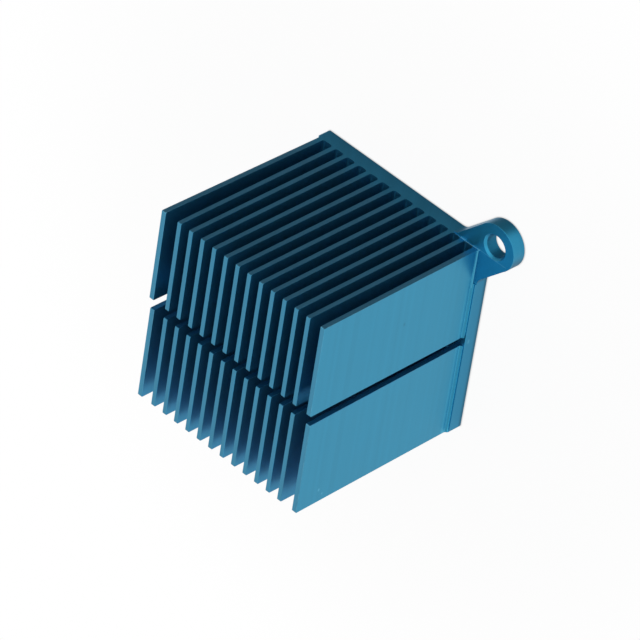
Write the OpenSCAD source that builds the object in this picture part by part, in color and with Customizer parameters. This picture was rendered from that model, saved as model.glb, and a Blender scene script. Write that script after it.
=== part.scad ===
// Extruded heat sink: tall plate fins with one cross cut, on a flat base with two diagonal screw ears.
// X runs across the fins, Y along them and Z from the base to the fin tips, in millimetres.
// The origin is the middle of the base's underside.

/* [Fins] */
// Number of fins
fin_count = 14; // [4:1:24]
// Distance between the middles of neighbouring inner fins
fin_pitch = 2.86; // [2:0.02:5]
// Thickness of an inner fin
fin_t = 0.9; // [0.6:0.05:1.4]
// Thickness of the two outermost fins
edge_fin_t = 1; // [0.6:0.05:1.6]
// Extra room in the two outermost channels
edge_gap_extra = 0.3; // [0:0.05:1]
// Height of the fins above the base
fin_h = 37.2; // [10:0.2:60]
// Fillet at the foot of each fin
root_r = 0.5; // [0.1:0.05:0.9]

/* [Base plate] */
// Length of the extrusion, along the fins
sink_l = 40; // [20:0.5:100]
// Thickness of the base plate
base_t = 3; // [2:0.1:8]
// Ledge of the base outside each outermost fin
ledge_w = 0.78; // [0.5:0.02:4]
// Corner radius, in plan, of the two corners without an ear
corner_r = 0.8; // [0.2:0.1:2]
// Chamfer along the upper left edge of the base
left_chamfer = 0.6; // [0.05:0.05:1]
// Chamfer along the upper right edge of the base
right_chamfer = 0.05; // [0.05:0.05:1]

/* [Cross cut] */
// Width of the saw cut across the fins
cut_w = 1.75; // [0.5:0.05:6]
// Distance of the saw cut from the middle of the fins
cut_y = 0.1; // [-6:0.1:6]

/* [Bends in the outermost fins] */
// Outward bend at the tip of the left fin, behind the cut
left_rear_bend = 0.7; // [-0.8:0.05:2]
// Outward bend at the tip of the left fin, before the cut
left_front_bend = 0.15; // [-0.8:0.05:2]
// Outward bend at the tip of the right fin, behind the cut
right_rear_bend = 0.3; // [-0.8:0.05:2]
// Outward bend at the tip of the right fin, before the cut
right_front_bend = 0.55; // [-0.8:0.05:2]

/* [Screw ears] */
// Diameter of the screw hole
hole_d = 4.3; // [2:0.1:6]
// Chamfer at the mouth of the screw hole
hole_chamfer = 0.4; // [0.1:0.05:0.8]
// Wall of the ear around the hole
ear_wall = 2.35; // [1.2:0.05:4]
// Distance of the hole beyond the base's corner, along X and along Y
ear_reach = 2.5; // [1.5:0.1:8]
// Fillet between the ear and the sides of the base
ear_fillet = 2; // [0.5:0.1:4]
// Depth that the ear's upper face is milled below the base's
ear_drop = 0.2; // [0.05:0.05:0.6]
// Gap between the outermost fin and the second milling pass
pass_gap = 0.25; // [0.1:0.05:0.6]
// Step between the two milling passes that meet on the ear
pass_step = 0.06; // [0.02:0.02:0.2]

/* [Hidden] */

// Facets of a full circle, and steps along the fillet at a fin's foot
$fn = 96;
foot_steps = 4;

// Depth that fins and ears reach into the base, and spare length of a cutter
embed = 0.6;
spare = 1;

// Distance that a round end or corner is set off from the side it would touch, so that the two cross cleanly
arc_ease = 0.03;

// Shares of a channel's width and of a ledge's flat that a fin's fillet may take, and of a ledge for its chamfer
foot_share = 0.4;
ledge_share = 0.7;
chamfer_share = 0.8;

// Fin row
edge_x = (fin_count - 1) / 2 * fin_pitch + edge_gap_extra;
edge_face = edge_x + edge_fin_t / 2;
channel_w = fin_pitch - max(fin_t, edge_fin_t);
foot_r = min(root_r, foot_share * channel_w);

// Base plate
base_w = 2 * (edge_face + ledge_w);
corner = [base_w / 2, sink_l / 2];

// Chamfer that fits on a ledge, and the fillet that fits between that chamfer and the outermost fin
function ledge_cut(chamfer) = min(chamfer, chamfer_share * ledge_w);
function ledge_r(chamfer) = min(foot_r, ledge_share * (ledge_w - ledge_cut(chamfer)));

// Ears, worked out from the corner that carries each
diagonal = sqrt(2);
ear_r = hole_d / 2 + ear_wall;
ear_t = base_t - ear_drop;
arm_r = ear_r - arc_ease;
ear_meet = arm_r * diagonal;
ear_root = ear_meet + ear_fillet * (diagonal - 1);
pass_x = edge_face + pass_gap;

// Points of the concave fillet at one side of a fin's foot, from the floor up to the fin
function foot_arc(side, t, r) = [
    for (i = [0 : foot_steps])
        let (a = 90 * i / foot_steps)
            [side * (t / 2 + r * (1 - sin(a))), r * (1 - cos(a))]
];

function reversed(points) = [for (i = [len(points) - 1 : -1 : 0]) points[i]];

// Points leant over in proportion to their height above the base
function leant(points, bend) = [for (p = points) [p[0] + bend * max(p[1], 0) / fin_h, p[1]]];

// Section of one fin, with its foot sunk into the base
module fin_section(t, bend, left_r, right_r) {
    polygon(leant(concat(
        [[-t / 2 - left_r, -embed]],
        foot_arc(-1, t, left_r),
        [[-t / 2, fin_h], [t / 2, fin_h]],
        reversed(foot_arc(1, t, right_r)),
        [[t / 2 + right_r, -embed]]
    ), bend));
}

module fin(x, t, bend, length, left_r = foot_r, right_r = foot_r) {
    translate([x, length, base_t])
        rotate([90, 0, 0])
            linear_extrude(length)
                fin_section(t, bend, left_r, right_r);
}

// All fins on one side of the cross cut
module fin_row(length, left_bend, right_bend) {
    fin(-edge_x, edge_fin_t, -left_bend, length, left_r = ledge_r(left_chamfer));
    for (i = [1 : fin_count - 2])
        fin((i - (fin_count - 1) / 2) * fin_pitch, fin_t, 0, length);
    fin(edge_x, edge_fin_t, right_bend, length, right_r = ledge_r(right_chamfer));
}

module fins() {
    rear_edge = cut_y + cut_w / 2;
    front_edge = cut_y - cut_w / 2;
    translate([0, rear_edge, 0])
        fin_row(corner[1] - rear_edge, left_rear_bend, right_rear_bend);
    translate([0, -corner[1], 0])
        fin_row(front_edge + corner[1], left_front_bend, right_front_bend);
}

// Section of the base plate across the fins
module base_section() {
    left = ledge_cut(left_chamfer);
    right = ledge_cut(right_chamfer);
    polygon([
        [-corner[0], 0],
        [corner[0], 0],
        [corner[0], base_t - right],
        [corner[0] - right, base_t],
        [-corner[0] + left, base_t],
        [-corner[0], base_t - left]
    ]);
}

module base_plate() {
    translate([0, corner[1], 0])
        rotate([90, 0, 0])
            linear_extrude(sink_l)
                base_section();
}

// What rounds off a corner without an ear, up past the fillet at the fin's foot
module corner_cut() {
    side = corner_r + spare;
    translate([-corner_r, corner_r, -spare])
        linear_extrude(spare + base_t + foot_r)
            difference() {
                translate([0, -side])
                    square(side);
                translate([arc_ease, -arc_ease])
                    circle(corner_r);
            }
}

// Concave fillet between one side of the ear and the side of the base, from the base's corner
module ear_fillet_plan() {
    start = [-ear_root, 0];
    centre = [-ear_root, ear_fillet];
    end = [-ear_meet, 0] + [1, 1] * ear_fillet * (1 - 1 / diagonal);
    difference() {
        polygon([start, centre, end, end + [embed, -embed], start - [0, embed]]);
        translate(centre)
            circle(ear_fillet);
    }
}

// Plan of an ear at 45 degrees, from the base's corner
module ear_plan() {
    arm_back = arm_r + embed;
    rotate(45)
        translate([-arm_back, -arm_r])
            square([arm_back + ear_reach * diagonal, 2 * arm_r]);
    translate([ear_reach, ear_reach])
        circle(ear_r);
    ear_fillet_plan();
    mirror([1, -1])
        ear_fillet_plan();
}

// Hole through an ear, with a chamfered mouth
module screw_hole() {
    translate([ear_reach, ear_reach, -spare])
        cylinder(d = hole_d, h = ear_t + 2 * spare);
    translate([ear_reach, ear_reach, ear_t - hole_chamfer])
        cylinder(d1 = hole_d, d2 = hole_d + 2 * (hole_chamfer + spare), h = hole_chamfer + spare);
}

// Second milling pass, along the side of the base and the ear's outer half
module side_pass() {
    translate([pass_x - corner[0], -ear_root, ear_t - pass_step])
        cube([ear_root + ear_reach + ear_r, ear_root, ear_drop + pass_step + spare]);
}

// Something at one corner of the base, and again at the opposite corner
module at_corners(place) {
    for (turn = [0, 180])
        rotate(turn)
            translate(place)
                children();
}

// The whole extrusion with its ears, rounded, milled beside the fins and drilled
module heat_sink() {
    color([0.17, 0.48, 0.63])
        difference() {
            union() {
                base_plate();
                fins();
                at_corners(corner)
                    linear_extrude(ear_t)
                        ear_plan();
            }
            at_corners([corner[0], -corner[1]])
                corner_cut();
            at_corners(corner) {
                side_pass();
                screw_hole();
            }
        }
}

heat_sink();
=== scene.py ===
"""Studio scene of a blue anodised heat sink with two diagonal screw ears.

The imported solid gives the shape. Its mesh is copied and cleaned, its faces are sorted by the tool that
made them, so that extruded, sawn, milled and drilled surfaces each get a finish of their own, and its sharp
edges are broken. Lengths are in metres, in the solid's frame: X runs across the fins, Y along them and Z
from the base to the fin tips.
"""

import logging
import math
from dataclasses import dataclass, field
from enum import Enum
from typing import Any, ClassVar

import bmesh
import bpy
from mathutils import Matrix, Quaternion, Vector


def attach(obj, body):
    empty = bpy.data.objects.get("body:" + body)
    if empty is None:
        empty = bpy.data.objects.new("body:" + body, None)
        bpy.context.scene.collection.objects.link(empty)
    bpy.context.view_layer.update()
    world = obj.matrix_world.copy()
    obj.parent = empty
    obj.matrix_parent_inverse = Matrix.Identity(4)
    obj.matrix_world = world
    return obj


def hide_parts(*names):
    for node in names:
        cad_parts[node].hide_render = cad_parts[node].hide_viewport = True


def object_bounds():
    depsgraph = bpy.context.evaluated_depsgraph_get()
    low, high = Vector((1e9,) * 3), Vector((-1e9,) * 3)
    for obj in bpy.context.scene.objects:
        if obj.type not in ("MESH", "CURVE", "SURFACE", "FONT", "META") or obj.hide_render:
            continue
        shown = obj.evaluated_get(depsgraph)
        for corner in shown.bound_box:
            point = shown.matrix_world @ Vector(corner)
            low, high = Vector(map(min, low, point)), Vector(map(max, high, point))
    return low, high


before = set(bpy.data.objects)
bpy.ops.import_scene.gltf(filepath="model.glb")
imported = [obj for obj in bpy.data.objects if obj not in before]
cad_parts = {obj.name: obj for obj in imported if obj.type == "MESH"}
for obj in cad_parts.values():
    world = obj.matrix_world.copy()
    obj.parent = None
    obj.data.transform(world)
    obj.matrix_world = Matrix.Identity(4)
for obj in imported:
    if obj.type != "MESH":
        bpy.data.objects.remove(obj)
cad_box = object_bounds()
log = logging.getLogger("heat_sink")

Colour = tuple[float, float, float]
Point = tuple[float, float, float]

MM = 0.001
MICRON = 1.0e-6
EDGE_LAYER = "broken_edge"
UP = Vector((0.0, 0.0, 1.0))
WHITE = (1.0, 1.0, 1.0, 1.0)

# Middle of a noise's range
NOISE_MEAN = 0.5

# Part of a face's normal along an axis past which the face looks along it
FACING = 0.9

# Part of a face's normal along Z under which the face stands upright
UPRIGHT = 0.3


def mm(x: float, y: float, z: float) -> Point:
    """A point given in millimetres."""
    return (x * MM, y * MM, z * MM)


class Wire:
    """A shader value that Python's operators work on: each operation adds a Math node."""

    def __init__(self, tree: "ShaderTree", socket: bpy.types.NodeSocket) -> None:
        """Keeps an output socket and the tree that it is in."""
        self.tree = tree
        self.socket = socket

    def other(self, output: str) -> "Wire":
        """Another output of the same node."""
        return Wire(self.tree, self.socket.node.outputs[output])

    def _math(self, operation: str, first: "Wire | float", second: "Wire | float") -> "Wire":
        """One Math node on two values."""
        return self.tree.node("ShaderNodeMath", {"operation": operation}, {0: first, 1: second})

    def __add__(self, value: "Wire | float") -> "Wire":
        """self + value."""
        return self._math("ADD", self, value)

    def __radd__(self, value: float) -> "Wire":
        """value + self."""
        return self._math("ADD", value, self)

    def __sub__(self, value: "Wire | float") -> "Wire":
        """self - value."""
        return self._math("SUBTRACT", self, value)

    def __rsub__(self, value: float) -> "Wire":
        """value - self."""
        return self._math("SUBTRACT", value, self)

    def __mul__(self, value: "Wire | float") -> "Wire":
        """self * value."""
        return self._math("MULTIPLY", self, value)

    def __rmul__(self, value: float) -> "Wire":
        """value * self."""
        return self._math("MULTIPLY", value, self)

    def held(self) -> "Wire":
        """The value, held between 0 and 1."""
        return self.tree.node("ShaderNodeClamp", {}, {"Value": self})


class ShaderTree:
    """The node tree of a material or a world, emptied and ready to be filled."""

    AIR_SAMPLES: ClassVar[int] = 8

    def __init__(self, owner: bpy.types.Material | bpy.types.World) -> None:
        """Turns on the owner's nodes and clears them.

        Args:
            owner: The material or world.
        """
        owner.use_nodes = True
        self.tree = owner.node_tree
        self.tree.nodes.clear()

    def node(
        self, kind: str, settings: dict[str, Any], sockets: dict[str | int, Any], output: str | int = 0
    ) -> Wire:
        """Adds a node.

        Args:
            kind: Blender's name of the node's type.
            settings: The node's own properties, set first.
            sockets: A value or a Wire for each input, by name or number.
            output: The output to hand back, by name or number.

        Returns:
            The chosen output.
        """
        made = self.tree.nodes.new(kind)
        for name, value in settings.items():
            setattr(made, name, value)
        for name, value in sockets.items():
            if isinstance(value, Wire):
                self.tree.links.new(value.socket, made.inputs[name])
            else:
                made.inputs[name].default_value = value
        return Wire(self, made.outputs[output])

    def vector(self, operation: str, first: Wire | Point, second: Wire | Point) -> Wire:
        """One Vector Math node on two vectors, which hands back a number where the operation gives one."""
        output = "Value" if operation in ("DOT_PRODUCT", "DISTANCE") else "Vector"
        return self.node("ShaderNodeVectorMath", {"operation": operation}, {0: first, 1: second}, output)

    def scaled(self, vector: Wire | Point, factor: Wire) -> Wire:
        """A vector or a colour times a number."""
        return self.node("ShaderNodeVectorMath", {"operation": "SCALE"}, {0: vector, 3: factor})

    def step(self, value: Wire, low: float, high: float) -> Wire:
        """A smooth step from 0 at low to 1 at high, or the other way round where low is the larger."""
        sockets = {"Value": value, "From Min": low, "From Max": high}
        return self.node("ShaderNodeMapRange", {"interpolation_type": "SMOOTHSTEP"}, sockets)

    def noise(self, place: Wire, size: float) -> Wire:
        """Noise from 0 to 1 on a position, with features of about the given size."""
        return self.node("ShaderNodeTexNoise", {}, {"Vector": place, "Scale": 1.0 / size})

    def streaks(self, turns: Wire, wide: float) -> Wire:
        """Noise from 0 to 1 that stays the same along each tool mark, with bands so many marks wide."""
        sockets = {"W": turns, "Scale": 1.0 / wide}
        return self.node("ShaderNodeTexNoise", {"noise_dimensions": "1D"}, sockets)

    def blend(self, factor: Wire, first: Wire | Colour, second: Wire | Colour) -> Wire:
        """Colour that runs from first at factor 0 to second at factor 1."""
        ends = [value if isinstance(value, Wire) else (*value, 1.0) for value in (first, second)]
        # The Mix node's colour sockets share their names with its other ones, so they go by number
        return self.node("ShaderNodeMix", {"data_type": "RGBA"}, {0: factor, 6: ends[0], 7: ends[1]}, 2)

    def open_air(self, distance: float) -> Wire:
        """How much of the space above a point is free within a distance, from 0 to 1."""
        settings = {"samples": self.AIR_SAMPLES}
        return self.node("ShaderNodeAmbientOcclusion", settings, {"Distance": distance}, "AO")

    def surface(self, shader: Wire) -> None:
        """Ends the tree in an output node of the kind that its owner takes.

        Args:
            shader: The shader that the output shows.
        """
        owner = "World" if shader.socket.node.type == "BACKGROUND" else "Material"
        end = self.tree.nodes.new(f"ShaderNodeOutput{owner}")
        self.tree.links.new(shader.socket, end.inputs["Surface"])


class Lay(Enum):
    """The way that a tool's marks run over a surface."""

    DIE_LINES = "straight lines along the fins"
    SAW_ARCS = "wide arcs across the sawn ends"
    MILL_ARCS = "wide arcs on the milled faces"
    LEVEL_RINGS = "level rings round the holes, the ears and the plate's sides"


@dataclass(frozen=True)
class Mark:
    """A small blemish in the anodised layer, a painted highlight or a painted shade, along a short line.

    Attributes:
        start: One end of the line, on the surface.
        end: The other end.
        width: How far the mark reaches from the line.
        colour: The colour it shows.
        share: How much of that colour shows on the line.
        CORE: Part of the width over which the mark doesn't fade.
    """

    start: Point
    end: Point
    width: float
    colour: Colour
    share: float

    CORE: ClassVar[float] = 0.3

    def cover(self, tree: ShaderTree, place: Wire) -> Wire:
        """How much of the mark's colour shows at a place.

        Args:
            tree: The material's tree.
            place: The position on the surface.

        Returns:
            The share, from 0 to 1.
        """
        line = Vector(self.end) - Vector(self.start)
        off = tree.vector("SUBTRACT", place, self.start)
        along = tree.vector("DOT_PRODUCT", off, tuple(line / line.length_squared))
        away = tree.vector("DISTANCE", off, tree.scaled(tuple(line), along.held()))
        return tree.step(away, self.width, self.CORE * self.width) * self.share


@dataclass(frozen=True)
class Finish:
    """One anodised finish, with the marks of the tool under it.

    Attributes:
        name: The material's name.
        lay: The way that the marks run.
        dye: The dyed metal's colour.
        roughness: The surface's mean roughness.
        pitch: Distance between the tool's marks.
        depth: Depth of the marks.
        shade: How uneven the dye is.
        upper: The dyed metal's colour higher up, where it differs.
        fade: Heights between which the colour changes.
        arc_centre: Middle of the arcs, where the marks are arcs.
        marks: Blemishes, painted highlights and painted shade on the surface.
        METALLIC: How metallic the dyed layer is.
        BARE: Colour of an edge whose dye is worn off.
        WEAR_SIZE: Size of the worn places along an edge.
        WEAR_RANGE: Levels of the noise between which an edge goes from whole to worn.
        WEAR_ROUGHNESS: Roughness that wear adds.
        BAND: Width of the bands in the dye, in tool marks.
        CLOUD: Size of the clouds in the dye.
        CLOUD_SHARE: Share of the clouds in the dye's unevenness.
        LINE_SHARE: Share of the tool marks in it.
        BAND_SHARE: Share of the bands in it.
        ROUGHNESS_SPREAD: How far the marks, and again the clouds, change the roughness.
    """

    name: str
    lay: Lay
    dye: Colour
    roughness: float
    pitch: float
    depth: float
    shade: float = 0.06
    upper: Colour | None = None
    fade: tuple[float, float] = (2.5 * MM, 8.0 * MM)
    arc_centre: Point = (0.0, 0.0, 0.0)
    marks: tuple[Mark, ...] = ()

    METALLIC: ClassVar[float] = 0.87
    BARE: ClassVar[Colour] = (0.2, 0.5, 0.64)
    WEAR_SIZE: ClassVar[float] = 1.6 * MM
    WEAR_RANGE: ClassVar[tuple[float, float]] = (0.3, 0.7)
    WEAR_ROUGHNESS: ClassVar[float] = 0.12
    BAND: ClassVar[float] = 7.0
    CLOUD: ClassVar[float] = 7.0 * MM
    CLOUD_SHARE: ClassVar[float] = 1.2
    LINE_SHARE: ClassVar[float] = 0.8
    BAND_SHARE: ClassVar[float] = 1.6
    ROUGHNESS_SPREAD: ClassVar[float] = 0.08

    def track(self, tree: ShaderTree, place: Wire) -> Wire:
        """Distance across the marks.

        Args:
            tree: The material's tree.
            place: The position on the surface.

        Returns:
            A length that stays the same along each mark.
        """
        axes = tree.node("ShaderNodeSeparateXYZ", {}, {"Vector": place}, "X")
        if self.lay is Lay.DIE_LINES:
            return axes + axes.other("Z")
        if self.lay is Lay.LEVEL_RINGS:
            return axes.other("Z")
        flat = (1.0, 0.0, 1.0) if self.lay is Lay.SAW_ARCS else (1.0, 1.0, 0.0)
        level = tree.vector("MULTIPLY", tree.vector("SUBTRACT", place, self.arc_centre), flat)
        return tree.vector("DISTANCE", level, (0.0, 0.0, 0.0))

    def colour(self, tree: ShaderTree, place: Wire, uneven: Wire, worn: Wire) -> Wire:
        """Colour of the dyed layer, with its unevenness, blemishes, painted highlights and shade, and worn
        edges.

        Args:
            tree: The material's tree.
            place: The position on the surface.
            uneven: How far the dye is above or below its mean, from about -1 to 1.
            worn: How far the dye is worn off, from 0 to 1.

        Returns:
            The base colour.
        """
        dye: Wire | Colour = self.dye
        if self.upper is not None:
            height = tree.node("ShaderNodeSeparateXYZ", {}, {"Vector": place}, "Z")
            dye = tree.blend(tree.step(height, *self.fade), self.dye, self.upper)
        shown = tree.scaled(dye, 1.0 + self.shade * uneven)
        for mark in self.marks:
            shown = tree.blend(mark.cover(tree, place), shown, mark.colour)
        return tree.blend(worn, shown, self.BARE)

    def build(self) -> bpy.types.Material:
        """Makes the material.

        Returns:
            The material, named after the finish.
        """
        material = bpy.data.materials.new(self.name)
        tree = ShaderTree(material)
        place = tree.node("ShaderNodeTexCoord", {}, {}, "Object")
        turns = self.track(tree, place) * (1.0 / self.pitch)
        lines = tree.streaks(turns, wide=1.0)
        bands = tree.streaks(turns, wide=self.BAND)
        cloud = tree.noise(place, self.CLOUD)
        mean = NOISE_MEAN * (self.CLOUD_SHARE + self.LINE_SHARE + self.BAND_SHARE)
        uneven = self.CLOUD_SHARE * cloud + self.LINE_SHARE * lines + self.BAND_SHARE * bands - mean
        edge = tree.node("ShaderNodeAttribute", {"attribute_name": EDGE_LAYER}, {}, "Fac")
        worn = edge * tree.step(tree.noise(place, self.WEAR_SIZE), *self.WEAR_RANGE)
        spread = self.ROUGHNESS_SPREAD
        bump = {"Height": lines, "Strength": 1.0, "Distance": self.depth}
        sockets = {
            "Base Color": self.colour(tree, place, uneven, worn),
            "Metallic": self.METALLIC,
            "Roughness": (
                self.roughness
                + spread * (lines - NOISE_MEAN)
                + spread * (cloud - NOISE_MEAN)
                + self.WEAR_ROUGHNESS * worn
            ),
            "Normal": tree.node("ShaderNodeBump", {}, bump),
        }
        tree.surface(tree.node("ShaderNodeBsdfPrincipled", {}, sockets))
        return material


# Colours of the blemishes, and of the painted highlights and painted shade
PALE_SPECK_AND_HIGHLIGHT = (0.1, 0.44, 0.64)
BRIGHT = (0.4, 0.58, 0.65)
GLINT = (0.5, 0.85, 1.0)
PAINTED_EDGE_SHADE = (0.015, 0.12, 0.2)
DULL = (0.028, 0.24, 0.39)
PAINTED_FOOT_SHADE = (0.028, 0.235, 0.39)
PAINTED_FOOT_LIGHT = (0.062, 0.415, 0.62)
PAINTED_LEDGE_LIGHT = (0.095, 0.585, 0.77)

# Middle of the saw blade's arcs
SAW_CENTRE = mm(-90.0, 0.0, 70.0)

EXTRUDED = Finish(
    name="extruded_blue",
    lay=Lay.DIE_LINES,
    dye=(0.031, 0.252, 0.455),
    roughness=0.38,
    pitch=0.22 * MM,
    depth=1.2 * MICRON,
)
OUTER = Finish(
    name="outer_blue",
    lay=Lay.DIE_LINES,
    dye=(0.036, 0.304, 0.49),
    roughness=0.38,
    pitch=0.22 * MM,
    depth=1.2 * MICRON,
    shade=0.07,
    marks=(
        Mark(mm(19.54, 11.5, 19.37), mm(19.54, 11.2, 19.37), 0.35 * MM, DULL, 0.9),
        Mark(mm(19.9, -17.4, 35.06), mm(19.9, -17.2, 35.06), 0.3 * MM, PALE_SPECK_AND_HIGHLIGHT, 0.8),
        Mark(mm(19.9, -18.6, 34.08), mm(19.9, -18.5, 34.08), 0.25 * MM, PALE_SPECK_AND_HIGHLIGHT, 0.8),
        # Painted light: a lighter band on the outer fin's foot, in place of its darker reflection in the
        # ledge
        Mark(mm(19.4, -20.0, 3.75), mm(19.4, 5.0, 3.75), 0.75 * MM, PAINTED_FOOT_LIGHT, 0.9),
        Mark(mm(19.4, 5.0, 3.75), mm(18.65, 19.0, 3.75), 0.75 * MM, PAINTED_FOOT_LIGHT, 0.9),
        # Painted shade: a dark line in the fillet at the outer fin's foot
        Mark(mm(19.55, -20.0, 3.13), mm(19.55, 20.0, 3.13), 0.3 * MM, PAINTED_FOOT_SHADE, 0.9),
        # Painted light: a lighter line along the ledge beside the outer fin
        Mark(mm(19.92, -19.6, 3.0), mm(19.92, 12.8, 3.0), 0.24 * MM, PAINTED_LEDGE_LIGHT, 0.9),
        # Painted shade: a dark line along the outer edge of the ledge, at the plate's top edge
        Mark(mm(20.14, -19.4, 2.97), mm(20.14, -1.0, 2.97), 0.2 * MM, PAINTED_EDGE_SHADE, 0.45),
        # Painted highlight: a pale line along the ledge at the outer fin's rear foot
        Mark(mm(19.53, 12.0, 3.15), mm(19.53, 20.0, 3.15), 0.11 * MM, PALE_SPECK_AND_HIGHLIGHT, 0.5),
    ),
)
RUBBED = Finish(
    name="rubbed_tips",
    lay=Lay.DIE_LINES,
    dye=(0.044, 0.232, 0.37),
    roughness=0.4,
    pitch=0.22 * MM,
    depth=1.2 * MICRON,
    shade=0.14,
)
SAWN = Finish(
    name="sawn_blue",
    lay=Lay.SAW_ARCS,
    dye=(0.041, 0.315, 0.54),
    upper=(0.067, 0.268, 0.435),
    roughness=0.33,
    pitch=0.3 * MM,
    depth=3.0 * MICRON,
    shade=0.12,
    arc_centre=SAW_CENTRE,
    marks=(
        Mark(mm(19.78, 20.0, 39.3), mm(19.84, 20.0, 37.7), 0.3 * MM, BRIGHT, 0.8),
        # Painted highlights: glints along the small step at the plate's end, below the channel floors
        Mark(mm(15.2, 20.0, 2.9), mm(16.2, 20.0, 2.9), 0.24 * MM, GLINT, 1.0),
        Mark(mm(18.1, 20.0, 2.9), mm(19.6, 20.0, 2.9), 0.2 * MM, GLINT, 0.9),
        # Painted shade: a faint dark band along the plate end's lower edge
        Mark(mm(-19.6, 20.0, 0.3), mm(13.0, 20.0, 0.3), 0.5 * MM, PAINTED_EDGE_SHADE, 0.15),
    ),
)
CROSS_CUT = Finish(
    name="cross_cut_blue",
    lay=Lay.SAW_ARCS,
    dye=(0.027, 0.245, 0.5),
    roughness=0.4,
    pitch=0.3 * MM,
    depth=3.0 * MICRON,
    shade=0.12,
    arc_centre=SAW_CENTRE,
)
MILLED = Finish(
    name="milled_blue",
    lay=Lay.MILL_ARCS,
    dye=(0.024, 0.305, 0.53),
    roughness=0.46,
    pitch=0.25 * MM,
    depth=1.5 * MICRON,
    arc_centre=mm(60.0, -20.0, 0.0),
    marks=(
        # Painted highlight: a pale line along the step where the milled ear meets the plate's end
        Mark(mm(19.2, 20.0, 2.78), mm(25.7, 20.0, 2.78), 0.18 * MM, PALE_SPECK_AND_HIGHLIGHT, 0.8),
        # Painted light: a lighter strip on the milled floor where it meets the end wall of the side pass,
        # whose corner is in shade
        Mark(mm(19.66, 12.97, 2.74), mm(20.2, 12.97, 2.74), 0.28 * MM, PAINTED_LEDGE_LIGHT, 1.0),
    ),
)
SIDE_MILLED = Finish(
    name="side_milled_blue",
    lay=Lay.LEVEL_RINGS,
    dye=(0.026, 0.268, 0.462),
    roughness=0.4,
    pitch=0.12 * MM,
    depth=2.0 * MICRON,
    marks=(
        Mark(mm(20.17, -0.1, 2.11), mm(20.17, 0.3, 2.11), 0.35 * MM, PALE_SPECK_AND_HIGHLIGHT, 0.5),
        # Painted shade: a dark band along the plate side's lower edge
        Mark(mm(20.17, -19.4, 0.3), mm(20.17, 13.0, 0.3), 0.6 * MM, PAINTED_EDGE_SHADE, 0.6),
    ),
)
ROUND_CUT = Finish(
    name="round_cut_blue",
    lay=Lay.LEVEL_RINGS,
    dye=(0.028, 0.273, 0.462),
    roughness=0.36,
    pitch=0.12 * MM,
    depth=2.0 * MICRON,
)
DRILLED = Finish(
    name="drilled_blue",
    lay=Lay.LEVEL_RINGS,
    dye=(0.018, 0.245, 0.43),
    roughness=0.5,
    pitch=0.12 * MM,
    depth=2.0 * MICRON,
)
FINISHES = (EXTRUDED, OUTER, RUBBED, SAWN, CROSS_CUT, MILLED, SIDE_MILLED, ROUND_CUT, DRILLED)


@dataclass
class FinRow:
    """The fins, sawn to length and sawn across.

    Attributes:
        length: Length of the fins.
        cut: Width of the saw cut across them.
        cut_y: Distance of the saw cut from the middle.
        tip: Height of the fin tips.
        foot: Height at which the fins rise from their fillets.
        outer: Distance from the middle, along X, past which a fin is one of the two outermost.
        outer_face: Distance past which a face lies on the outside of an outermost fin.
        outward: Part of a normal, away from the middle, past which such a face isn't turned inwards.
        slack: How far a face may lie from a plane and still count as part of it.
        outer_wear: How worn the outermost fins' edges are, from 0 to 1.
        inner_wear: How worn the other fins' edges are.
    """

    length: float = 40.0 * MM
    cut: float = 1.75 * MM
    cut_y: float = 0.1 * MM
    tip: float = cad_box[1].z
    foot: float = 3.55 * MM
    outer: float = 18.2 * MM
    outer_face: float = 19.3 * MM
    outward: float = -0.1
    slack: float = 0.05 * MM
    outer_wear: float = 0.45
    inner_wear: float = 0.15

    def sawn(self, along: float) -> bool:
        """Whether a distance along Y is on one of the saw's planes."""
        off_ends = abs(abs(along) - self.length / 2.0)
        return min(off_ends, abs(abs(along - self.cut_y) - self.cut / 2.0)) < self.slack

    def finish(self, centre: Vector, normal: Vector) -> Finish | None:
        """Chooses the fins' finish for a face.

        Args:
            centre: The face's middle.
            normal: The face's normal.

        Returns:
            The finish, or None where the face is in a channel or below the fins.
        """
        if abs(normal.y) > FACING and self.sawn(centre.y) and centre.z > self.foot:
            return CROSS_CUT if abs(centre.y) < self.length / 4.0 else SAWN
        if normal.z > FACING and centre.z > self.tip - self.slack:
            return RUBBED
        if normal.x * math.copysign(1.0, centre.x) > self.outward and abs(centre.x) > self.outer_face:
            return OUTER
        return None

    def dulled(self, centre: Vector) -> bool:
        """Whether an edge is where a tip meets a sawn end, which the deburring rounds most."""
        return centre.z > self.tip - self.slack and self.sawn(centre.y)

    def wear(self, centre: Vector) -> float | None:
        """How worn a broken edge of the fins is.

        Args:
            centre: The edge's middle.

        Returns:
            The wear, from 0 to 1, or None where the edge isn't theirs.
        """
        if centre.z < self.foot:
            return None
        return self.outer_wear if abs(centre.x) > self.outer else self.inner_wear


@dataclass
class BasePlate:
    """The plate under the fins, sawn at its ends and faced underneath.

    Attributes:
        length: Length of the plate.
        side: Distance of its long sides from the middle.
        slack: How far a face may lie from a plane and still count as part of it.
    """

    length: float = 40.0 * MM
    side: float = 20.17 * MM
    slack: float = 0.05 * MM

    def finish(self, centre: Vector, normal: Vector) -> Finish | None:
        """Chooses the plate's finish for a face.

        Args:
            centre: The face's middle.
            normal: The face's normal.

        Returns:
            The finish, or None where the face is as the die left it.
        """
        if abs(normal.x) > FACING and abs(centre.x) > self.side - self.slack:
            return SIDE_MILLED
        if normal.z < -FACING and centre.z < self.slack:
            return MILLED
        if abs(normal.y) > FACING and abs(abs(centre.y) - self.length / 2.0) < self.slack:
            return SAWN
        return None

    def wear(self, _centre: Vector) -> float:
        """How worn an edge of the plate is: not at all, since it stays as the saw left it."""
        return 0.0


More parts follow.
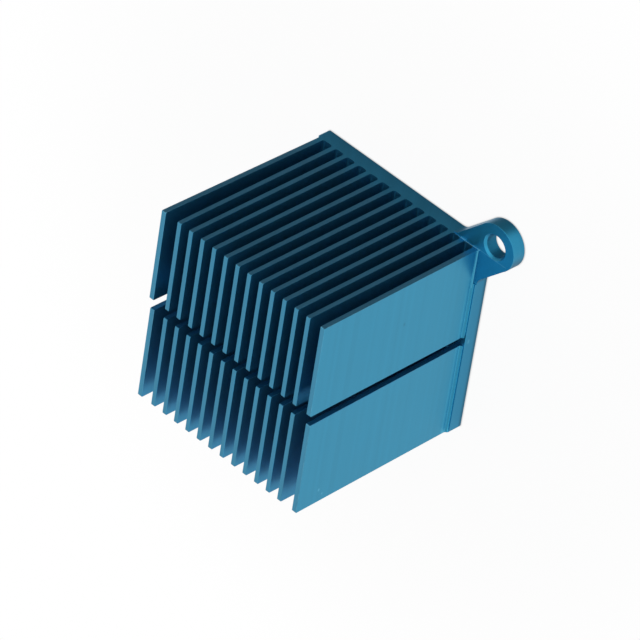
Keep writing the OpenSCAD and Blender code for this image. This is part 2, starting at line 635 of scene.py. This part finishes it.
@dataclass
class ScrewEars:
    """The two ears, milled below the plate's top and drilled.

    Attributes:
        hole: Distance of each hole's middle from the part's middle, along X and Y.
        mouth: Radius within which a face that doesn't lie flat is a hole's.
        top: Height below which an upward face was milled.
        corner: X and Y just past the plate's corner, beyond which a face is an ear's.
        step: Lowest X and lowest and highest Z of the edges that the milling cutter left.
        step_reach: How far short of that Y those edges start.
        step_highlight_wear: How worn the edges in line with the plate's end are, from 0 to 1; set high, so
            that their pale worn colour is also a painted highlight along the step.
        edge_wear: How worn the edges past it are.
    """

    hole: tuple[float, float] = (22.67 * MM, 22.5 * MM)
    mouth: float = 2.62 * MM
    top: float = 2.85 * MM
    corner: tuple[float, float] = (20.22 * MM, 20.05 * MM)
    step: tuple[float, float, float] = (14.0 * MM, 2.7 * MM, 3.1 * MM)
    step_reach: float = 0.2 * MM
    # Wear and painted highlight: the pale worn colour of the step's edges also stands in for light along it
    step_highlight_wear: float = 0.8
    edge_wear: float = 0.1

    def finish(self, centre: Vector, normal: Vector) -> Finish | None:
        """Chooses the ears' finish for a face.

        Args:
            centre: The face's middle.
            normal: The face's normal.

        Returns:
            The finish, or None where the face isn't one of theirs.
        """
        turn = math.copysign(1.0, centre.x)
        away = math.hypot(turn * centre.x - self.hole[0], turn * centre.y - self.hole[1])
        if away < self.mouth and abs(normal.z) < FACING:
            return DRILLED if abs(normal.z) < UPRIGHT else ROUND_CUT
        if normal.z > FACING and centre.z < self.top:
            return MILLED
        if abs(normal.z) < FACING and (abs(centre.x) > self.corner[0] or abs(centre.y) > self.corner[1]):
            return ROUND_CUT
        return None

    def wear(self, centre: Vector) -> float | None:
        """How worn a broken edge of the ears is.

        Args:
            centre: The edge's middle.

        Returns:
            The wear, from 0 to 1, or None where the edge isn't theirs.
        """
        turn = math.copysign(1.0, centre.x)
        along = turn * centre.y
        low_x, low_z, high_z = self.step
        if turn * centre.x < low_x or along < self.corner[1] - self.step_reach:
            return None
        if not low_z < centre.z < high_z:
            return None
        return self.step_highlight_wear if along < self.corner[1] else self.edge_wear


@dataclass
class HeatSink:
    """The whole part: one extrusion, sawn, milled, drilled and dyed.

    Attributes:
        name: The finished piece's name.
        node: The solid that gives the shape.
        slot: The record's material slot for it; not used.
        body: The body that it rides on.
        edge_break: Width of the flat breaks along the worn edges.
        break_room: Least length of a worn edge, and least reach of its faces, in widths of the break.
        under_break: Width of the rounding along the underside's edges.
        under: Height up to which an edge is the underside's.
        tip_break: Width of the rounding where a fin's tip meets a sawn end.
        rounding: Number of faces across a rounding.
        merge: Distance within which two points are one.
        flat: Angle up to which two faces are one.
        sharp: Angle past which an edge is broken or rounded.
        crease: Angle past which two faces are shaded apart.
        fins: The fins.
        base: The plate under them.
        ears: The two ears.
    """

    name: str = "heat_sink_dyed"
    node: str = "heat_sink"
    slot: str = "anodised_aluminium"
    body: str = "root"
    edge_break: float = 0.05 * MM
    break_room: float = 1.5
    under_break: float = 0.2 * MM
    under: float = 0.01 * MM
    tip_break: float = 0.22 * MM
    rounding: int = 3
    merge: float = 1.0 * MICRON
    flat: float = math.radians(0.5)
    sharp: float = math.radians(30.0)
    crease: float = math.radians(35.0)
    fins: FinRow = field(default_factory=FinRow)
    base: BasePlate = field(default_factory=BasePlate)
    ears: ScrewEars = field(default_factory=ScrewEars)

    def copied(self) -> bmesh.types.BMesh:
        """Copies the solid's mesh and joins its loose triangles into whole faces.

        Returns:
            A closed mesh.
        """
        mesh = bmesh.new()
        mesh.from_mesh(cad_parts[self.node].data)
        bmesh.ops.remove_doubles(mesh, verts=mesh.verts, dist=self.merge)
        bmesh.ops.dissolve_limit(
            mesh, angle_limit=self.flat, verts=mesh.verts, edges=mesh.edges, delimit={"NORMAL"}
        )
        return mesh

    def sort_faces(self, mesh: bmesh.types.BMesh) -> None:
        """Gives each face the number of its finish.

        Args:
            mesh: The mesh that they are in.
        """
        for face in mesh.faces:
            centre = face.calc_center_median()
            claims = [part.finish(centre, face.normal) for part in (self.ears, self.base, self.fins)]
            finish = next((claim for claim in claims if claim is not None), EXTRUDED)
            face.material_index = FINISHES.index(finish)

    def wear(self, centre: Vector) -> float:
        """How worn an edge or a face on it is, from 0 to 1."""
        claims = [part.wear(centre) for part in (self.ears, self.fins, self.base)]
        return next(claim for claim in claims if claim is not None)

    def sharp_edges(self, mesh: bmesh.types.BMesh) -> dict[bmesh.types.BMEdge, Vector]:
        """The sharp outer edges, each with its middle."""
        found = [edge for edge in mesh.edges if edge.is_convex and edge.calc_face_angle() > self.sharp]
        return {edge: (edge.verts[0].co + edge.verts[1].co) / 2.0 for edge in found}

    def room(self, edge: bmesh.types.BMEdge) -> float:
        """How much room an edge leaves for a break.

        Args:
            edge: The edge.

        Returns:
            The edge's length, or how far the narrower of its two faces reaches from it, if that is less.
        """
        start = edge.verts[0].co
        along = (edge.verts[1].co - start).normalized()
        reach = [max((v.co - start).cross(along).length for v in face.verts) for face in edge.link_faces]
        return min(edge.calc_length(), *reach)

    def rounded(
        self, mesh: bmesh.types.BMesh, edges: list[bmesh.types.BMEdge], width: float, segments: int
    ) -> list[bmesh.types.BMFace]:
        """Rounds some edges, or breaks them flat where there is one face across.

        Args:
            mesh: The mesh that they are in.
            edges: The edges.
            width: Width of the rounding.
            segments: Number of faces across it.

        Returns:
            The new faces.
        """
        made = bmesh.ops.bevel(
            mesh,
            geom=edges,
            offset=width,
            offset_type="OFFSET",
            affect="EDGES",
            segments=segments,
            profile=0.5,
            material=-1,
            clamp_overlap=False,
        )
        return made["faces"]

    def break_edges(self, mesh: bmesh.types.BMesh) -> None:
        """Rounds the underside's edges and the fin tips' ends, breaks the worn edges and marks their wear.

        Args:
            mesh: The mesh that they are in.
        """
        layer = mesh.faces.layers.float.new(EDGE_LAYER)
        under = [edge for edge, middle in self.sharp_edges(mesh).items() if middle.z < self.under]
        self.rounded(mesh, under, self.under_break, self.rounding)
        dulled = [edge for edge, middle in self.sharp_edges(mesh).items() if self.fins.dulled(middle)]
        self.rounded(mesh, dulled, self.tip_break, self.rounding)
        least = self.break_room * self.edge_break
        worn = [
            edge
            for edge, middle in self.sharp_edges(mesh).items()
            if self.wear(middle) > 0.0 and self.room(edge) > least
        ]
        for face in self.rounded(mesh, worn, self.edge_break, segments=1):
            face[layer] = self.wear(face.calc_center_median())
        bmesh.ops.dissolve_degenerate(mesh, dist=self.merge, edges=mesh.edges)

    def shade(self, data: bpy.types.Mesh) -> None:
        """Shades curved faces smoothly and keeps flat ones flat.

        Args:
            data: The finished mesh, whose corners each get the mean normal, by area, of the faces about them
                that lie within the crease angle.
        """
        faces = data.polygons
        about: list[list[bpy.types.MeshPolygon]] = [[] for _ in data.vertices]
        for face in faces:
            for vertex in face.vertices:
                about[vertex].append(face)
        limit = math.cos(self.crease)
        normals = []
        for face in faces:
            for vertex in face.vertices:
                near = [other for other in about[vertex] if other.normal.dot(face.normal) > limit]
                normals.append(sum((other.area * other.normal for other in near), Vector()).normalized())
        data.shade_smooth()
        data.normals_split_custom_set(normals)

    def build(self) -> bpy.types.Object:
        """Makes the piece and puts it on its body.

        Returns:
            The finished object.
        """
        mesh = self.copied()
        self.sort_faces(mesh)
        self.break_edges(mesh)
        data = bpy.data.meshes.new(self.name)
        mesh.to_mesh(data)
        mesh.free()
        for finish in FINISHES:
            data.materials.append(finish.build())
        self.shade(data)
        piece = bpy.data.objects.new(self.name, data)
        bpy.context.scene.collection.objects.link(piece)
        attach(piece, self.body)
        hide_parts(self.node)
        log.info("%s: %d faces", piece.name, len(data.polygons))
        return piece


@dataclass(frozen=True)
class PhotoCamera:
    """The camera, at the photograph's viewing angle.

    Attributes:
        target: The point in the middle of the picture.
        azimuth: Direction from the target to the camera, round Z from -Y.
        elevation: Height of that direction above the floor.
        roll: Turn of the camera about its line of sight.
        distance: Distance from the target.
        lens: Focal length in millimetres.
        sensor: Width of the sensor in millimetres.
        sight: Distance past which nothing is seen.
    """

    target: Point = mm(-5.337, -7.328, 11.781)
    azimuth: float = math.radians(140.235)
    elevation: float = math.radians(37.52)
    roll: float = math.radians(-116.903)
    distance: float = 1227.6 * MM
    lens: float = 397.85
    sensor: float = 36.0
    sight: float = 10.0

    def build(self) -> bpy.types.Object:
        """Makes the camera and gives it to the scene.

        Returns:
            The camera.
        """
        flat = math.cos(self.elevation)
        rise = math.sin(self.elevation)
        back = Vector((flat * math.sin(self.azimuth), -flat * math.cos(self.azimuth), rise))
        data = bpy.data.cameras.new("photo_camera")
        data.lens = self.lens
        data.sensor_width = self.sensor
        data.clip_end = self.sight
        camera = bpy.data.objects.new("photo_camera", data)
        camera.location = Vector(self.target) + self.distance * back
        camera.rotation_mode = "QUATERNION"
        camera.rotation_quaternion = (-back).to_track_quat("-Z", "Y") @ Quaternion(UP, self.roll)
        bpy.context.scene.collection.objects.link(camera)
        bpy.context.scene.camera = camera
        log.info("%s: %.1f mm lens", camera.name, self.lens)
        return camera


@dataclass(frozen=True)
class SoftBox:
    """A square studio lamp that faces the part.

    Attributes:
        name: The lamp's name.
        direction: Direction from the part to the lamp.
        power: Power in watts.
        distance: Distance from the part's middle.
        size: Length of a side.
    """

    name: str
    direction: Point
    power: float
    distance: float = 0.8
    size: float = 0.9

    def build(self, middle: Vector) -> bpy.types.Object:
        """Makes the lamp, turned to a point.

        Args:
            middle: The point that the lamp faces.

        Returns:
            The lamp.
        """
        data = bpy.data.lights.new(self.name, "AREA")
        data.size = self.size
        data.energy = self.power
        lamp = bpy.data.objects.new(self.name, data)
        out = Vector(self.direction).normalized()
        lamp.location = middle + self.distance * out
        lamp.rotation_mode = "QUATERNION"
        lamp.rotation_quaternion = out.to_track_quat("Z", "Y")
        bpy.context.scene.collection.objects.link(lamp)
        return lamp


@dataclass(frozen=True)
class ShadePatch:
    """A darker part of the surround that only reflections show, as a studio flag shapes metal.

    Attributes:
        direction: Direction from the part to the patch's middle.
        core: Angle from that direction up to which the patch is at its darkest.
        edge: Angle past which the surround is white.
        tone: How pale the patch is, from 0 to 1.
    """

    direction: Point
    core: float
    edge: float
    tone: float

    def dimming(self, tree: ShaderTree, ray: Wire) -> Wire:
        """How much the patch takes off the surround along a ray, from 0 to 1."""
        lined_up = tree.vector("DOT_PRODUCT", ray, tuple(Vector(self.direction).normalized()))
        return (1.0 - self.tone) * tree.step(lined_up, math.cos(self.edge), math.cos(self.core))


@dataclass
class Studio:
    """A pale floor, a white surround with shade patches, and soft lamps.

    Attributes:
        radius: Radius of the floor.
        facets: Number of sides of the floor's rim.
        clear: Gap between the floor and the part's underside.
        paint: Colour of the floor's matt paint.
        near: Distance from the middle up to which the floor shows all of its shade.
        far: Distance past which the floor is as white as the surround.
        shade: Share of its own shade that the floor keeps where it is seen.
        ambient: Strength of the surround as light on matt surfaces.
        contact: Width of the painted contact shadow, a dark line where the part meets the floor.
        contact_share: How dark that painted shadow is.
        dusk: Width of the soft shade beside the part that its own reflections show.
        dusk_share: How dark that shade is.
        patches: The shade patches.
        lamps: The lamps.
    """

    radius: float = 1.5
    facets: int = 64
    clear: float = 0.02 * MM
    paint: tuple[float, float, float, float] = (0.85, 0.85, 0.85, 1.0)
    near: float = 45.0 * MM
    far: float = 110.0 * MM
    shade: float = 0.06
    ambient: float = 0.7
    contact: float = 0.3 * MM
    contact_share: float = 0.5
    dusk: float = 5.0 * MM
    dusk_share: float = 0.5
    patches: tuple[ShadePatch, ...] = (
        ShadePatch((-0.6, 0.75, -0.25), core=math.radians(38.0), edge=math.radians(68.0), tone=0.19),
        ShadePatch((-0.1, -0.95, -0.3), core=math.radians(10.0), edge=math.radians(50.0), tone=0.45),
    )
    lamps: tuple[SoftBox, ...] = (
        SoftBox("front_softbox", (0.55, 0.75, 0.8), power=0.5),
        SoftBox("top_softbox", (0.15, 0.2, 1.0), power=0.4),
    )

    @staticmethod
    def seen(tree: ShaderTree) -> tuple[Wire, Wire]:
        """1 on rays from the camera, and 1 on rays that show the background by reflection or in glass."""
        rays = tree.node("ShaderNodeLightPath", {}, {}, "Is Camera Ray")
        return rays, rays.other("Is Glossy Ray") + rays.other("Is Transmission Ray")

    def surround(self) -> None:
        """Makes the world: white where it is seen, patched in reflections and softer as a light."""
        world = bpy.data.worlds.new("white_surround")
        bpy.context.scene.world = world
        tree = ShaderTree(world)
        ray = tree.node("ShaderNodeTexCoord", {}, {}, "Generated")
        direct, mirrored = self.seen(tree)
        strength = self.ambient + (1.0 - self.ambient) * (direct + mirrored)
        for patch in self.patches:
            strength = strength - mirrored * patch.dimming(tree, ray)
        tree.surface(tree.node("ShaderNodeBackground", {}, {"Color": WHITE, "Strength": strength}))

    def floor_paint(self) -> bpy.types.Material:
        """Makes the floor's material: matt white that fades into the surround and keeps the part's shadow.

        Returns:
            The material.
        """
        material = bpy.data.materials.new("pale_floor")
        tree = ShaderTree(material)
        place = tree.node("ShaderNodeTexCoord", {}, {}, "Object")
        away = tree.vector("DISTANCE", place, (0.0, 0.0, 0.0))
        kept = self.shade * tree.step(away, self.far, self.near)
        direct, mirrored = self.seen(tree)
        # Painted contact shadow: the floor's white darkens where the part closes off the air just above it
        line = self.contact_share * (1.0 - tree.open_air(self.contact))
        dusk = self.dusk_share * (1.0 - tree.open_air(self.dusk))
        matt = tree.node("ShaderNodeBsdfDiffuse", {}, {"Color": self.paint})
        white = tree.node("ShaderNodeEmission", {}, {"Color": WHITE, "Strength": 1.0})
        lined = tree.node("ShaderNodeMixShader", {}, {0: line, 1: white})
        shown = tree.node("ShaderNodeMixShader", {}, {0: direct * (1.0 - kept), 1: matt, 2: lined})
        see_through = tree.node("ShaderNodeBsdfTransparent", {}, {})
        dimmed = tree.node("ShaderNodeMixShader", {}, {0: dusk, 1: see_through})
        tree.surface(tree.node("ShaderNodeMixShader", {}, {0: mirrored, 1: shown, 2: dimmed}))
        return material

    def build(self) -> None:
        """Makes the surround, the floor and the lamps."""
        self.surround()
        low, high = cad_box
        mesh = bmesh.new()
        bmesh.ops.create_circle(mesh, cap_ends=True, segments=self.facets, radius=self.radius)
        bmesh.ops.translate(mesh, verts=mesh.verts, vec=(low.z - self.clear) * UP)
        data = bpy.data.meshes.new("floor")
        mesh.to_mesh(data)
        mesh.free()
        data.materials.append(self.floor_paint())
        floor = bpy.data.objects.new("floor", data)
        bpy.context.scene.collection.objects.link(floor)
        for lamp in self.lamps:
            lamp.build((low + high) / 2.0)
        log.info("studio: floor, %d shade patches and %d lamps", len(self.patches), len(self.lamps))


def main() -> None:
    """Builds the camera, the studio and the part."""
    logging.basicConfig(level=logging.INFO)
    bpy.context.scene.view_settings.view_transform = "Standard"
    PhotoCamera().build()
    Studio().build()
    HeatSink().build()


if __name__ == "__main__":
    main()
